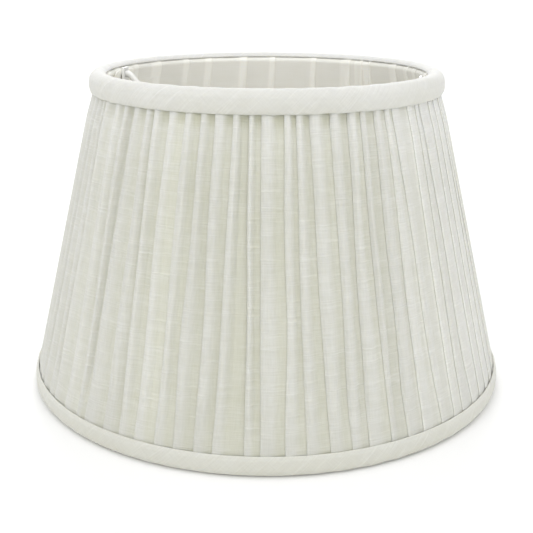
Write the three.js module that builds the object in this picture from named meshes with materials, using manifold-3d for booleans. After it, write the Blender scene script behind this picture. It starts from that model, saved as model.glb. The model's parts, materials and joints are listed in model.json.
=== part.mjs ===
// Knife-pleated empire lamp shade on a strutted wire frame, with a reversible gimbal fitter.
// Millimetres, +Z up. The origin is the centre of the bottom rim's rest plane, and +X runs along the gimbal's
// pivot axis, towards the right pivot.
import * as THREE from 'three';
import { mergeVertices } from 'three/addons/utils/BufferGeometryUtils.js';
import Module from 'manifold-3d';

// ---- Driving dimensions -----------------------------------------------------------------------------
const HEIGHT = 161; // bottom rim to top rim
const TOP_RADIUS = 88.8; // over the top trim's lower edge
const BOTTOM_RADIUS = 125; // over the bottom trim

const TRIM_THICKNESS = 0.9; // folded bias tape
const TRIM_HEIGHT = 10; // what each trim covers outside
const TRIM_WIDTH = 9.35; // across the finished roll
const TRIM_WRAP = 135; // degrees that a trim turns over its ring, from outside to inside
const GAP = 0.3; // between neighbouring solids

const COVER_THICKNESS = 2.2; // three layers of linen at a pleat, with their loft
const COVER_EDGE_THICKNESS = 1.8; // where the pleats are stitched flat to the rings
const LINING_THICKNESS = 0.5;

const FRAME_WIRE_RADIUS = 1.3;
const STRUT_COUNT = 6;
const BINDING_THICKNESS = 0.4;
const BINDING_SEAM_HALF_ANGLE = 12; // degrees of a binding's section left open on each side of its seam

const PIVOT_BELOW_RIM = 5;
const TAB_THICKNESS = 1.2;
const TAB_WIDTH = 7;
const TAB_PLATE_X = 76.6; // inner face of the plate that the arm's end passes through
const TAB_ABOVE_PIVOT = 3.2;
const NEATENER_WIDTH = 24;
const NEATENER_THICKNESS = 0.7;

const GIMBAL_WIRE_RADIUS = 1.5;
const GIMBAL_DROP = 51; // pivot axis to the carrier ring's middle
const PIN_HEAD_RADIUS = 2.4; // the arm's end, peened over outside the tab
const PIN_HEAD_THICKNESS = 1;
const CARRIER_BORE_RADIUS = 21; // large lampholder skirt
const CARRIER_RADIUS = 27;
const CARRIER_THICKNESS = 1.5;

const AROUND = 48; // facets round the shade, the same for every ring so that their gaps stay even
const AROUND_WIRE = 8;
const HALF_ROUND_STEPS = 10; // on half of a pin head or pivot hole

// ---- Worked-out places ------------------------------------------------------------------------------
const trimRoll = TRIM_WIDTH / 2; // outer radius of the rolled edge
const trimCoreRoll = trimRoll - TRIM_THICKNESS;

const coverBottomOuter = BOTTOM_RADIUS - TRIM_THICKNESS - GAP;
const bottomWire = new THREE.Vector2(coverBottomOuter - COVER_EDGE_THICKNESS - GAP - BINDING_THICKNESS - GAP
  - FRAME_WIRE_RADIUS, trimRoll - 0.2);

const COVER_FLARE = 0.25; // radius gained for each millimetre down the cover
const coverAtTopTrim = new THREE.Vector2(TOP_RADIUS - TRIM_THICKNESS - GAP, HEIGHT - TRIM_HEIGHT);
const coverTopZ = HEIGHT - trimRoll + 0.2;
const coverTopOuter = coverAtTopTrim.x - COVER_FLARE * (coverTopZ - coverAtTopTrim.y);
const topRollRadius = coverTopOuter + GAP + TRIM_THICKNESS - trimRoll;
const topWire = new THREE.Vector2(coverTopOuter - COVER_EDGE_THICKNESS - GAP - BINDING_THICKNESS - GAP
  - FRAME_WIRE_RADIUS, HEIGHT - trimRoll + 0.3);

const bindingOuter = FRAME_WIRE_RADIUS + GAP + BINDING_THICKNESS;
const liningTop = new THREE.Vector2(topWire.x - bindingOuter - GAP, topWire.y);
const liningBottom = new THREE.Vector2(bottomWire.x - bindingOuter - GAP, bottomWire.y);
const liningFlare = (liningBottom.x - liningTop.x) / (liningTop.y - liningBottom.y);
const liningInnerAt = (z) => liningTop.x + liningFlare * (liningTop.y - z) - LINING_THICKNESS;
const liningWrap = bindingOuter + GAP; // radius of the lining where it turns over each ring

const pivotZ = HEIGHT - PIVOT_BELOW_RIM;
const pinHeadX = TAB_PLATE_X + TAB_THICKNESS + GAP;
const tabLegTop = pivotZ - 3.9;
const tabLegBottom = tabLegTop - TAB_THICKNESS;
const carrierZ = pivotZ - GIMBAL_DROP;

// ---- Solids: joins, cuts and revolved sections ------------------------------------------------------
const wasm = await Module();
wasm.setup();

function toSolid(geometry) {
  const bare = geometry.clone();
  bare.deleteAttribute('normal');
  bare.deleteAttribute('uv');
  const merged = mergeVertices(bare);
  return new wasm.Manifold(new wasm.Mesh({
    numProp: 3,
    vertProperties: new Float32Array(merged.attributes.position.array),
    triVerts: new Uint32Array(merged.index.array),
  }));
}

function toGeometry(solid) {
  const mesh = solid.getMesh();
  const geometry = new THREE.BufferGeometry();
  geometry.setAttribute('position', new THREE.BufferAttribute(new Float32Array(mesh.vertProperties), 3));
  geometry.setIndex(new THREE.BufferAttribute(new Uint32Array(mesh.triVerts), 1));
  geometry.computeVertexNormals();
  return geometry;
}

function join(geometry, ...others) {
  return toGeometry(others.reduce((solid, other) => solid.add(toSolid(other)), toSolid(geometry)));
}

function cut(geometry, ...tools) {
  return toGeometry(tools.reduce((solid, tool) => solid.subtract(toSolid(tool)), toSolid(geometry)));
}

function keepInside(geometry, region) {
  return toGeometry(toSolid(geometry).intersect(toSolid(region)));
}

function boxBetween(low, high) {
  const box = new THREE.BoxGeometry(high[0] - low[0], high[1] - low[1], high[2] - low[2]);
  return box.translate((low[0] + high[0]) / 2, (low[1] + high[1]) / 2, (low[2] + high[2]) / 2);
}

// A closed section of [radius, z] points, counter-clockwise, turned about the Z axis.
function revolve(section) {
  const profile = [...section, section[0]].map(([radius, z]) => new THREE.Vector2(radius, z));
  return new THREE.LatheGeometry(profile, AROUND).rotateX(Math.PI / 2);
}

// Points on an arc in the section plane, with angles measured from outward towards up.
function sectionArc(centre, radius, fromDegrees, toDegrees, steps) {
  return Array.from({ length: steps + 1 }, (unused, i) => {
    const angle = THREE.MathUtils.degToRad(fromDegrees + ((toDegrees - fromDegrees) * i) / steps);
    return [centre.x + radius * Math.cos(angle), centre.y + radius * Math.sin(angle)];
  });
}

// A round rod between two points.
function rodBetween(start, end, radius, sides) {
  const along = end.clone().sub(start);
  const up = new THREE.Vector3(0, 1, 0);
  const turn = new THREE.Quaternion().setFromUnitVectors(up, along.clone().normalize());
  const rod = new THREE.CylinderGeometry(radius, radius, along.length(), sides).applyQuaternion(turn);
  const middle = start.clone().add(end).multiplyScalar(0.5);
  return rod.translate(middle.x, middle.y, middle.z);
}

// A disc on the pivot axis, which is parallel to X.
function pivotDisc(lowX, highX, radius) {
  const disc = new THREE.CylinderGeometry(radius, radius, highX - lowX, 2 * HALF_ROUND_STEPS);
  return disc.rotateZ(Math.PI / 2).translate((lowX + highX) / 2, 0, pivotZ);
}

// ---- Materials --------------------------------------------------------------------------------------
const finish = (color, roughness) => new THREE.MeshStandardMaterial({ color, roughness, metalness: 0 });
const coverLinen = () => finish(0xe2e1d6, 0.92);
const trimLinen = () => finish(0xeae9e3, 0.9);
const liningCloth = () => finish(0xd6cdc0, 0.85);
const cottonTape = () => finish(0xefeee8, 0.95);
const whitePaint = () => finish(0xf2f2ef, 0.4);

const shade = new THREE.Group();

function addPart(name, geometry, material) {
  const part = new THREE.Mesh(geometry, material);
  part.name = name;
  shade.add(part);
  return part;
}

// ---- Wire frame: two rings, six struts and their cotton binding -------------------------------------
function frameRing(wire) {
  return new THREE.TorusGeometry(wire.x, FRAME_WIRE_RADIUS, AROUND_WIRE, AROUND).translate(0, 0, wire.y);
}

// The struts run straight from ring to ring, stopping short of both wires.
function strutEnds(index, clearance) {
  const turn = Math.PI / STRUT_COUNT + (index * 2 * Math.PI) / STRUT_COUNT;
  const along = bottomWire.clone().sub(topWire).normalize().multiplyScalar(clearance);
  const upper = topWire.clone().add(along);
  const lower = bottomWire.clone().sub(along);
  return [upper, lower].map((p) => new THREE.Vector3(p.x * Math.cos(turn), p.x * Math.sin(turn), p.y));
}

function strut(index) {
  const [upper, lower] = strutEnds(index, FRAME_WIRE_RADIUS + GAP);
  return rodBetween(upper, lower, FRAME_WIRE_RADIUS, AROUND_WIRE + 2);
}

// Tape wound round a ring: a nearly closed tube, cleared where the struts and tabs join the wire.
function ringBinding(wire, towardsStruts) {
  const seam = BINDING_SEAM_HALF_ANGLE;
  const inner = bindingOuter - BINDING_THICKNESS;
  const outside = sectionArc(wire, bindingOuter, towardsStruts + seam, towardsStruts + 360 - seam, 7);
  const inside = sectionArc(wire, inner, towardsStruts + 360 - seam, towardsStruts + seam, 7);
  const tape = revolve([...outside, ...inside]);
  const clearances = [];
  for (let index = 0; index < STRUT_COUNT; index += 1) {
    const [upper, lower] = strutEnds(index, 0);
    clearances.push(rodBetween(upper, lower, FRAME_WIRE_RADIUS + GAP, AROUND_WIRE + 2));
  }
  const belowWire = topWire.y - FRAME_WIRE_RADIUS;
  return cut(tape, ...clearances, tabClearance(1, belowWire), tabClearance(-1, belowWire));
}

const strutSlope = THREE.MathUtils.radToDeg(Math.atan2(topWire.y - bottomWire.y, bottomWire.x - topWire.x));
addPart('top_ring', frameRing(topWire), whitePaint());
addPart('bottom_ring', frameRing(bottomWire), whitePaint());
for (let index = 0; index < STRUT_COUNT; index += 1) {
  addPart(`strut_${index + 1}`, strut(index), whitePaint());
}
addPart('top_ring_binding', ringBinding(topWire, -strutSlope), cottonTape());
addPart('bottom_ring_binding', ringBinding(bottomWire, 180 - strutSlope), cottonTape());

// ---- Tabs on the top ring, one on each side, that carry the gimbal ----------------------------------
// A tab hooks from the ring's underside, under the lining's edge, and up to the plate with the pivot hole.
function pivotTab() {
  const plateTop = pivotZ + TAB_ABOVE_PIVOT;
  const plateOuter = TAB_PLATE_X + TAB_THICKNESS;
  const hookInner = topWire.x - TAB_THICKNESS / 2;
  const hookOuter = topWire.x + TAB_THICKNESS / 2;
  const hookTop = topWire.y - FRAME_WIRE_RADIUS - GAP;
  const outline = new THREE.Shape([
    [hookOuter, hookTop],
    [hookInner, hookTop],
    [hookInner, tabLegTop],
    [plateOuter, tabLegTop],
    [plateOuter, plateTop],
    [TAB_PLATE_X, plateTop],
    [TAB_PLATE_X, tabLegBottom],
    [hookOuter, tabLegBottom],
  ].map(([x, z]) => new THREE.Vector2(x, z)));
  const strip = new THREE.ExtrudeGeometry(outline, { depth: TAB_WIDTH, bevelEnabled: false });
  strip.rotateX(Math.PI / 2).translate(0, TAB_WIDTH / 2, 0);
  return cut(strip, pivotDisc(TAB_PLATE_X - 1, plateOuter + 1, GIMBAL_WIRE_RADIUS + GAP));
}

// The space that a tab needs through the binding and the lining, up to a height. The side is 1 for the right
// tab and -1 for the left.
function tabClearance(side, top) {
  const halfWidth = TAB_WIDTH / 2 + GAP;
  const nearX = side * (TAB_PLATE_X - GAP);
  const farX = side * (topWire.x + TAB_THICKNESS / 2 + GAP);
  const low = [Math.min(nearX, farX), -halfWidth, tabLegBottom - GAP];
  return boxBetween(low, [Math.max(nearX, farX), halfWidth, top]);
}

// ---- Reversible gimbal: two wire arms and the carrier ring ------------------------------------------
// An arm's end lies along the pivot axis, through the tab. Inside, the wire turns down and runs straight to
// the carrier ring's edge.
function gimbalArm() {
  const upperCorner = new THREE.Vector3(TAB_PLATE_X - 2, 0, pivotZ);
  const lowerCorner = new THREE.Vector3(CARRIER_RADIUS + 4.5, 0, carrierZ);
  const down = lowerCorner.clone().sub(upperCorner).normalize();
  const inwards = new THREE.Vector3(-1, 0, 0);
  const upperBend = 1.9;
  const lowerBend = 3;
  const at = (corner, direction, distance) => corner.clone().addScaledVector(direction, distance);
  const start = new THREE.Vector3(pinHeadX + PIN_HEAD_THICKNESS / 2, 0, pivotZ);
  const end = new THREE.Vector3(CARRIER_RADIUS + GAP + 0.1, 0, carrierZ);
  const bends = [
    [at(upperCorner, inwards, -upperBend), upperCorner, at(upperCorner, down, upperBend)],
    [at(lowerCorner, down, -lowerBend), lowerCorner, at(lowerCorner, inwards, lowerBend)],
  ];
  const path = new THREE.CurvePath();
  path.add(new THREE.LineCurve3(start, bends[0][0]));
  path.add(new THREE.QuadraticBezierCurve3(...bends[0]));
  path.add(new THREE.LineCurve3(bends[0][2], bends[1][0]));
  path.add(new THREE.QuadraticBezierCurve3(...bends[1]));
  path.add(new THREE.LineCurve3(bends[1][2], end));
  const section = new THREE.Shape().absarc(0, 0, GIMBAL_WIRE_RADIUS, 0, 2 * Math.PI);
  const settings = { steps: 48, curveSegments: HALF_ROUND_STEPS / 2, bevelEnabled: false, extrudePath: path };
  const wire = new THREE.ExtrudeGeometry(section, settings);
  return join(wire, pivotDisc(pinHeadX, pinHeadX + PIN_HEAD_THICKNESS, PIN_HEAD_RADIUS));
}

function carrierRing() {
  const half = CARRIER_THICKNESS / 2;
  return revolve([
    [CARRIER_BORE_RADIUS, carrierZ - half],
    [CARRIER_RADIUS, carrierZ - half],
    [CARRIER_RADIUS, carrierZ + half],
    [CARRIER_BORE_RADIUS, carrierZ + half],
  ]);
}

// A strip of lining cloth slung under the tab, covering the lining where it is cut round it.
function neatener() {
  const top = topWire.y + 0.6;
  const bottom = tabLegBottom - 5;
  const outerAt = (z) => liningInnerAt(z) - GAP;
  const band = revolve([
    [outerAt(bottom) - NEATENER_THICKNESS, bottom],
    [outerAt(bottom), bottom],
    [outerAt(top), top],
    [outerAt(top) - NEATENER_THICKNESS, top],
  ]);
  const half = NEATENER_WIDTH / 2;
  const strip = keepInside(band, boxBetween([0, -half, 0], [TOP_RADIUS, half, HEIGHT]));
  return cut(strip, tabClearance(1, HEIGHT));
}

for (const [side, turn] of [['right', 0], ['left', Math.PI]]) {
  addPart(`pivot_tab_${side}`, pivotTab(), whitePaint()).rotation.z = turn;
  addPart(`gimbal_arm_${side}`, gimbalArm(), whitePaint()).rotation.z = turn;
  addPart(`neatener_${side}`, neatener(), liningCloth()).rotation.z = turn;
}
addPart('carrier_ring', carrierRing(), whitePaint());

// ---- Lining: two half cones of thin cloth, turned over both rings, seamed at the pivots -------------
function liningCone() {
  const surface = (radius) => [
    ...sectionArc(bottomWire, radius, 250, 180, 3),
    ...sectionArc(topWire, radius, 180, 100, 3),
  ];
  return revolve([...surface(liningWrap), ...surface(liningWrap + LINING_THICKNESS).reverse()]);
}

// ---- Pleated cover: two fabric widths outside the struts --------------------------------------------
function coverCone() {
  const bottomEdge = trimRoll - 1;
  const turnIn = TRIM_HEIGHT + 2; // above this the cover is straight
  const outerAt = (z) => coverAtTopTrim.x + COVER_FLARE * (coverAtTopTrim.y - z);
  const shoulder = coverAtTopTrim.y - 6; // below this the pleats are at full thickness
  return revolve([
    [coverBottomOuter, bottomEdge],
    [outerAt(turnIn), turnIn],
    [coverTopOuter, coverTopZ],
    [coverTopOuter - COVER_EDGE_THICKNESS, coverTopZ],
    [outerAt(shoulder) - COVER_THICKNESS, shoulder],
    [outerAt(turnIn) - COVER_THICKNESS, turnIn],
    [coverBottomOuter - COVER_EDGE_THICKNESS, bottomEdge],
  ]);
}

// One half of a cone, on one side of the plane through the Z axis at the given turn.
function halfOf(cone, turn) {
  const half = boxBetween([-200, GAP / 2, -1], [200, 200, HEIGHT + 1]).rotateZ(turn);
  return keepInside(cone, half);
}

for (const [side, turn] of [['back', 0], ['front', Math.PI]]) {
  const lining = halfOf(liningCone(), turn);
  addPart(`lining_${side}`, cut(lining, tabClearance(1, HEIGHT), tabClearance(-1, HEIGHT)), liningCloth());
  addPart(`pleated_cover_${side}`, halfOf(coverCone(), turn + Math.PI / STRUT_COUNT), coverLinen());
}

// ---- Bias trims: folded tape rolled over each ring --------------------------------------------------
function topTrim() {
  const roll = new THREE.Vector2(topRollRadius, HEIGHT - trimRoll);
  return revolve([
    [TOP_RADIUS, HEIGHT - TRIM_HEIGHT],
    ...sectionArc(roll, trimRoll, 0, TRIM_WRAP, 6),
    ...sectionArc(roll, trimCoreRoll, TRIM_WRAP, 0, 6),
    [TOP_RADIUS - TRIM_THICKNESS, HEIGHT - TRIM_HEIGHT],
  ]);
}

// The bottom roll is pressed flat where the shade stands on it.
function bottomTrim() {
  const corner = 2.6;
  const innerCorner = corner - TRIM_THICKNESS;
  const insideEnd = 210;
  const outside = new THREE.Vector2(BOTTOM_RADIUS - corner, corner);
  const inside = new THREE.Vector2(BOTTOM_RADIUS - TRIM_WIDTH + corner, corner);
  const edgeOuter = TOP_RADIUS + COVER_FLARE * (coverAtTopTrim.y - TRIM_HEIGHT);
  return revolve([
    ...sectionArc(inside, corner, insideEnd, 270, 3),
    ...sectionArc(outside, corner, 270, 360, 3),
    [edgeOuter, TRIM_HEIGHT],
    [edgeOuter - TRIM_THICKNESS, TRIM_HEIGHT],
    ...sectionArc(outside, innerCorner, 360, 270, 3),
    ...sectionArc(inside, innerCorner, 270, insideEnd, 3),
  ]);
}

addPart('top_trim', topTrim(), trimLinen());
addPart('bottom_trim', bottomTrim(), trimLinen());

export default shade;
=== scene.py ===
"""Knife-pleated linen lamp shade: cloth, smooth metal and studio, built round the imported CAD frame.

Lengths are in metres. "MM" turns the tailoring dimensions, which are written in millimetres, into metres.
"""
import json
import math

import bmesh
import bpy
import numpy as np
from mathutils import Matrix, Vector

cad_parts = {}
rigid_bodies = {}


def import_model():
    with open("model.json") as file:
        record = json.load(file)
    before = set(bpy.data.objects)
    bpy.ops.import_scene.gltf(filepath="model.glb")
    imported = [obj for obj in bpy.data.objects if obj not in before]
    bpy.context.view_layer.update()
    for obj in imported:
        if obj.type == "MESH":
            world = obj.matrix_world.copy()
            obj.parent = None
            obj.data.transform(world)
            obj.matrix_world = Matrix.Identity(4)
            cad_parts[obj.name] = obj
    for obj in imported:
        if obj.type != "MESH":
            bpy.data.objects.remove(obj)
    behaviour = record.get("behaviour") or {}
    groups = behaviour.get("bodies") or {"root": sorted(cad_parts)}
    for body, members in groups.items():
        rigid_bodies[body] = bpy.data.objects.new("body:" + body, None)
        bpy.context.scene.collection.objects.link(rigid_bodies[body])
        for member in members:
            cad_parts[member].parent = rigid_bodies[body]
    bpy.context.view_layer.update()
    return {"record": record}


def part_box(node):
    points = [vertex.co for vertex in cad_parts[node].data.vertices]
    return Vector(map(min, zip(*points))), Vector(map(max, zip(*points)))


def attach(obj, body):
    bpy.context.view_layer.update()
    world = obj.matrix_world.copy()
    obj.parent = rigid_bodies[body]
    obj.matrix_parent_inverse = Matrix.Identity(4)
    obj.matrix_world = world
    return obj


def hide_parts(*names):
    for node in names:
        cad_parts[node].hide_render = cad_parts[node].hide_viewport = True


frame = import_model()

MM = 0.001
TAU = 2 * math.pi
rng = np.random.default_rng(20)

# ---- Places read from the CAD frame ----
SHADE = "shade"
GIMBAL = "gimbal"
COVER_NODES = ("pleated_cover_back", "pleated_cover_front")
PIVOT_Z = frame["record"]["behaviour"]["joints"][0]["pos_m"][2]


def ring_wire(node):
    """The centre-line radius, height and wire radius of a ring that lies level round the Z axis."""
    low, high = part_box(node)
    wire = (high.z - low.z) / 2
    return high.x - wire, (high.z + low.z) / 2, wire


def outer_profile(nodes):
    """The outer corners of some turned nodes' section, as (radius, height) from the bottom up."""
    points = []
    for name in nodes:
        mesh = bpy.data.objects[name].data
        flat = np.empty(len(mesh.vertices) * 3)
        mesh.vertices.foreach_get("co", flat)
        points.append(flat.reshape(-1, 3))
    points = np.concatenate(points)
    heights = np.round(points[:, 2], 5)
    radii = np.hypot(points[:, 0], points[:, 1])
    levels, counts = np.unique(heights, return_counts=True)
    levels = levels[counts >= 24]
    profile = np.array([[radii[heights == level].max(), level] for level in levels])
    straight = np.interp(profile[:, 1], profile[[0, -1], 1], profile[[0, -1], 0])
    return profile[profile[:, 0] > straight - 0.1 * MM]


TOP_RING = ring_wire("top_ring")
BOTTOM_RING = ring_wire("bottom_ring")
TOP_TRIM_LOW, TOP_TRIM_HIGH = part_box("top_trim")
BOTTOM_TRIM_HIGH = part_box("bottom_trim")[1]
COVER_PROFILE = outer_profile(COVER_NODES)
STRUT_LOW, STRUT_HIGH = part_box("strut_1")
FIRST_STRUT = math.atan2(STRUT_LOW.y + STRUT_HIGH.y, STRUT_LOW.x + STRUT_HIGH.x)
STRUT_SPACING = TAU / 6

# ---- Tailoring, in millimetres where the name doesn't say otherwise ----
PLEATS = 78  # round the shade, 39 in each fabric width
COVER_SPLIT = math.radians(30)  # where the first fabric width starts
PLEAT_FABRIC = 20.4  # linen taken up by one pleat
LINEN_THICKNESS = 0.27
LINING_TUCKS = 15  # in each lining half
LINING_THICKNESS = 0.14
TAPE_THICKNESS = 0.36
TAPE_HEM = 5.5  # turned in at each edge of a trim
LAYER_GAP = 0.05
COVER_PROUD = 0.33  # how far the pleats stand out from the CAD cover, to fill the gap under the trims
TRIM_PULL = 0.7  # how far the top trim draws the pleats in
DEEPEST_PLEAT = 3.3
PLEAT_OVER_STRUT = 2.15  # the deepest pleat there is room for over a strut
PRESSED_SIDES = ((-10, 38, 0.72), (-150, 32, 0.45))  # flatter pleats: angle, spread and share

# ---- Tones painted into the cover, in twentieths of its lightness, for light as it falls in the photo ----
FOLD_PAINTED_LIGHT = 6.5  # painted light: how much lighter the folds and grooves are where the pleats are pressed flat
VALLEY_PAINTED_SHADE = 0.9  # painted shade: how much darker it is down between full pleats
VALLEY_SHADE_WARMTH = 0.75  # painted shade: how much more saturated it is there
PRESSED_LIGHT_WARMTH = -0.2  # painted light: how much more saturated the pressed pleats are, below zero to wash them out
TOP_PAINTED_LIGHT = 1.6  # painted light: how much lighter the cover is along the top, all the way round
TOP_BAND = (40, 36)  # where that starts under the top, and the height over which it grows
TOP_LIGHTER_COOLS = 0.12  # how much less saturated it is for each step of that
BOTTOM_PAINTED_SHADE = 0.9  # painted shade: how much darker it is along the bottom
BOTTOM_BAND = (35, 30)
GAP_SHADE = 3.5  # how much darker the gaps between the pleats are, right under the top trim
GAP_BAND = (12.5, 5)
GAP_WARMTH = 0.8
PLEAT_TONE_SPREAD = 0.35  # the linen's own tone, spread at random from one pleat to the next


# ---- Mesh helpers ----
def linked(name, data):
    made = bpy.data.objects.new(name, data)
    bpy.context.collection.objects.link(made)
    return made


def add_mesh(name, vertices, faces, material, body=SHADE):
    mesh = bpy.data.meshes.new(name)
    mesh.from_pydata(np.asarray(vertices).tolist(), [], faces)
    mesh.polygons.foreach_set("use_smooth", [True] * len(mesh.polygons))
    mesh.materials.append(material)
    mesh.update()
    piece = linked(name, mesh)
    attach(piece, body)
    return piece


def grid_faces(rows, columns, closed):
    """Quads of a grid of points, as index rows; closed joins the last column to the first."""
    across = columns if closed else columns - 1
    row, column = np.meshgrid(np.arange(rows - 1), np.arange(across), indexing="ij")
    following = (column + 1) % columns
    corners = [row * columns + column, row * columns + following]
    corners += [(row + 1) * columns + following, (row + 1) * columns + column]
    return np.stack([corner.ravel() for corner in corners], axis=1)


def grid_normals(points, closed):
    """Unit normals of a grid of points, pointing to the side where its quads run counter-clockwise."""
    if closed:
        along = np.roll(points, -1, axis=1) - np.roll(points, 1, axis=1)
    else:
        along = np.gradient(points, axis=1)
    up = np.gradient(points, axis=0)
    normal = np.cross(along, up)
    return normal / np.maximum(np.linalg.norm(normal, axis=2, keepdims=True), 1e-12)


def cloth_piece(name, points, thickness, cloth_uv, material, round_length=0.0, attributes=None):
    """A closed shell of cloth, half its thickness on each side of a grid of points.

    round_length is the length of a band that runs all the way round, whose last column joins its first.
    """
    closed = round_length > 0
    rows, columns = points.shape[:2]
    count = rows * columns
    normal = grid_normals(points, closed)
    outside = (points + normal * thickness / 2).reshape(-1, 3)
    inside = (points - normal * thickness / 2).reshape(-1, 3)
    quads = grid_faces(rows, columns, closed)
    across = columns if closed else columns - 1
    column = np.arange(across)
    following = (column + 1) % columns
    last = (rows - 1) * columns
    rims = [np.stack([column, column + count, following + count, following], axis=1)]
    upper = [last + column, last + following]
    rims.append(np.stack([*upper, upper[1] + count, upper[0] + count], axis=1))
    if not closed:
        row = np.arange(rows - 1) * columns
        rims.append(np.stack([row, row + columns, row + columns + count, row + count], axis=1))
        end = row + columns - 1
        rims.append(np.stack([end, end + count, end + columns + count, end + columns], axis=1))
    faces = np.concatenate([quads, quads[:, ::-1] + count, *rims])
    piece = add_mesh(name, np.concatenate([outside, inside]), faces.tolist(), material)
    corner_uv = np.tile(cloth_uv.reshape(-1, 2), (2, 1))[faces]
    corner_column = faces % columns
    joining = closed & (np.ptp(corner_column, axis=1) > columns // 2)
    corner_uv[:, :, 0] += round_length * (joining[:, None] & (corner_column < columns // 2))
    layer = piece.data.uv_layers.new(name="cloth")
    layer.data.foreach_set("uv", corner_uv.ravel())
    for label, values in (attributes or {}).items():
        attribute = piece.data.attributes.new(label, "FLOAT", "POINT")
        attribute.data.foreach_set("value", np.tile(values.ravel(), 2))
    return piece


def slow_waves(count, t, waves=3):
    """One slow random curve for each item along t, mostly between -1 and 1."""
    order = np.arange(1, waves + 1)[None, :, None]
    phase = rng.uniform(0, TAU, (count, waves, 1))
    weight = rng.normal(0, 0.6, (count, waves, 1)) / np.sqrt(order)
    return (weight * np.sin(order * math.pi * t + phase)).sum(axis=1)


def mix(low, high, share):
    return low + (high - low) * share


def smooth(x):
    x = np.clip(x, 0, 1)
    return x * x * (3 - 2 * x)


def near_edge(distance, starts, grows_over):
    """0 beyond a distance from an edge, rising to 1 nearer to it."""
    return smooth((starts - distance) / grows_over)


def path_normals(path):
    """Unit normals to the left of a path of (radius, z) points."""
    along = np.gradient(path, axis=0)
    normal = np.stack([-along[:, 1], along[:, 0]], axis=1)
    return normal / np.linalg.norm(normal, axis=1, keepdims=True)


def path_lengths(path):
    steps = np.linalg.norm(np.diff(path, axis=0), axis=1)
    return np.concatenate([[0], np.cumsum(steps)])


# ---- Knife pleats: folds all laid one way, in a sheet that stays one piece ----
LOOP_ANGLES = np.radians([270, 210, 150, 90])
FACE_STATIONS = np.array([0.04, 0.09, 0.15, 0.23, 0.33, 0.44, 0.56, 0.68, 0.8, 0.9, 1.0])
TAIL_STEPS = 6
TURN_ANGLES = np.radians([45, -45])
RETURN_STEPS = 6
STEPS_BEHIND = TAIL_STEPS + len(TURN_ANGLES) + RETURN_STEPS


def pleat_section(fold_angles, radius, fabric, depth, loop, fall, thickness):
    """The cross-section of each pleat at each height.

    Arrays run over (pleat, height, station), in millimetres. Each pleat has the loop of its fold, its face,
    which goes down to its depth and on under the next fold, the hidden inner fold, and the return layer back
    to the next fold. fall(share, depth, seat) is the face's depth at a share of its width, from the seat at
    its fold. The result is the angle, the depth under the pleats' outer surface and the place in the flat
    fabric of every station, and how far each face station is along its pleat.
    """
    width = (np.diff(fold_angles, axis=0) * radius)[:, :, None]
    under = np.minimum((fabric[:, :, None] - width) / 2, 0.92 * np.roll(width, -1, axis=0))
    depth, loop = depth[:, :, None], loop[:, :, None]
    half = thickness / 2
    layer = thickness + LAYER_GAP
    seat = np.maximum(np.roll(depth, 1, axis=0) - 2 * loop - layer, 0)
    next_width, next_loop, next_seat = (np.roll(x, -1, axis=0) for x in (width, loop, seat))

    def return_depth(beyond):
        next_share = np.roll(beyond / next_width, 1, axis=0)
        over = np.roll(fall(np.minimum(next_share + 0.12, 1), depth, seat), -1, axis=0)
        return half + np.maximum(next_seat + 2 * next_loop, over + layer)

    loop_s = loop * (1 + np.cos(LOOP_ANGLES))
    loop_d = half + seat + loop * (1 - np.sin(LOOP_ANGLES))
    loop_place = loop * (math.pi / 2 - LOOP_ANGLES)

    face_s = loop + FACE_STATIONS * (width - loop)
    face_share = face_s / width
    face_d = half + fall(face_share, depth, seat)

    inner = layer / 2
    tail = np.linspace(0, 1, TAIL_STEPS + 1)[1:]
    tail_beyond = tail * (under - inner)
    tail_s = width + tail_beyond
    tail_d = return_depth(tail_beyond) + layer

    turn_s = width + under - inner + inner * np.cos(TURN_ANGLES)
    turn_d = return_depth(under - inner) + inner + inner * np.sin(TURN_ANGLES)
    turn_place = width + under - 0.2 * TURN_ANGLES

    back = np.linspace(1, 0, RETURN_STEPS + 1)[:-1]
    back_beyond = mix(next_loop, under - inner, back)
    back_s = width + back_beyond
    back_d = return_depth(back_beyond)
    back_place = 2 * (width + under) - back_s

    hidden = np.repeat(np.ones_like(face_share[:, :, :1]), STEPS_BEHIND, axis=2)
    s = np.concatenate([loop_s, face_s, tail_s, turn_s, back_s], axis=2)
    depths = np.concatenate([loop_d, face_d, tail_d, turn_d, back_d], axis=2)
    place = np.concatenate([loop_place, face_s, tail_s, turn_place, back_place], axis=2)
    share = np.concatenate([0 * loop_s, face_share, hidden], axis=2)
    angle = fold_angles[:-1, :, None] + s / radius[None, :, None]
    place = place + (np.cumsum(fabric, axis=0) - fabric)[:, :, None]
    return angle, depths, place, share


def pleat_columns(values, first, last):
    """The stations of pleats first to last, in order along the fabric, as (height, station)."""
    count = values.shape[0]
    columns = [values[(first - 1) % count][:, -RETURN_STEPS:]]
    for index in range(first, last):
        whole = values[index % count]
        columns.append(whole if index < last - 1 else whole[:, :-(RETURN_STEPS + len(TURN_ANGLES))])
    return np.concatenate(columns, axis=1)


def pleated_grid(angles, depths, path, normals):
    """Points from angles and depths, both (height, station), laid under a (radius, z) path."""
    radius = path[:, 0:1] - normals[:, 0:1] * depths * MM
    height = path[:, 1:2] - normals[:, 1:2] * depths * MM
    return np.stack([radius * np.cos(angles), radius * np.sin(angles), height + 0 * angles], axis=2)


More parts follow.
